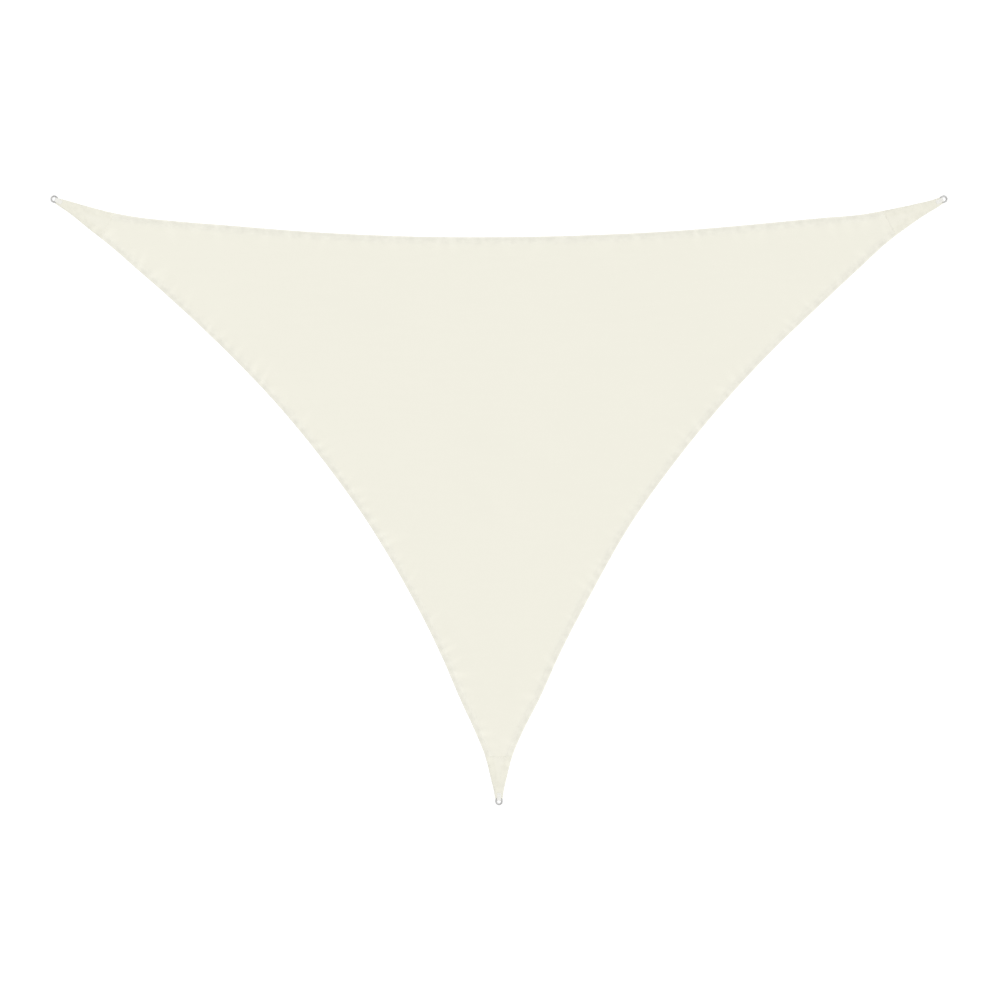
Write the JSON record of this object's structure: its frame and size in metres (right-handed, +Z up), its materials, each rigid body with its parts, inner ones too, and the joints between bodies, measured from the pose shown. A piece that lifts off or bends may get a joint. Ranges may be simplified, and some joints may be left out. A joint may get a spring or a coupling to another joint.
{
  "type": "shade sail",
  "caption": "Triangular shade sail of knitted cloth with hollow-cut hemmed edges, laid flat, with a patch, a webbing strap and a steel D-ring at each corner.",
  "frame": {"origin": "on the ground, under the middle of the box round the whole sail, rings included", "axes": "+X along the long edge, +Y from the foot corner towards the long edge, +Z up, away from the ground"},
  "size_m": [5.9998, 4.0789, 0.0142],
  "materials": {
    "sail_cloth": "matte knitted cloth, unbleached cream",
    "patch_cloth": "matte knitted cloth, second layer, unbleached cream",
    "webbing": "matte woven strap, off-white",
    "ring_steel": "bright stainless steel"
  },
  "bodies": {
    "root": {"sail_cloth": "sail_cloth", "patch_left": "patch_cloth", "patch_right": "patch_cloth", "patch_foot": "patch_cloth", "webbing_left": "webbing", "webbing_right": "webbing", "webbing_foot": "webbing", "ring_left": "ring_steel", "ring_right": "ring_steel", "ring_foot": "ring_steel"}
  },
  "joints": []
}
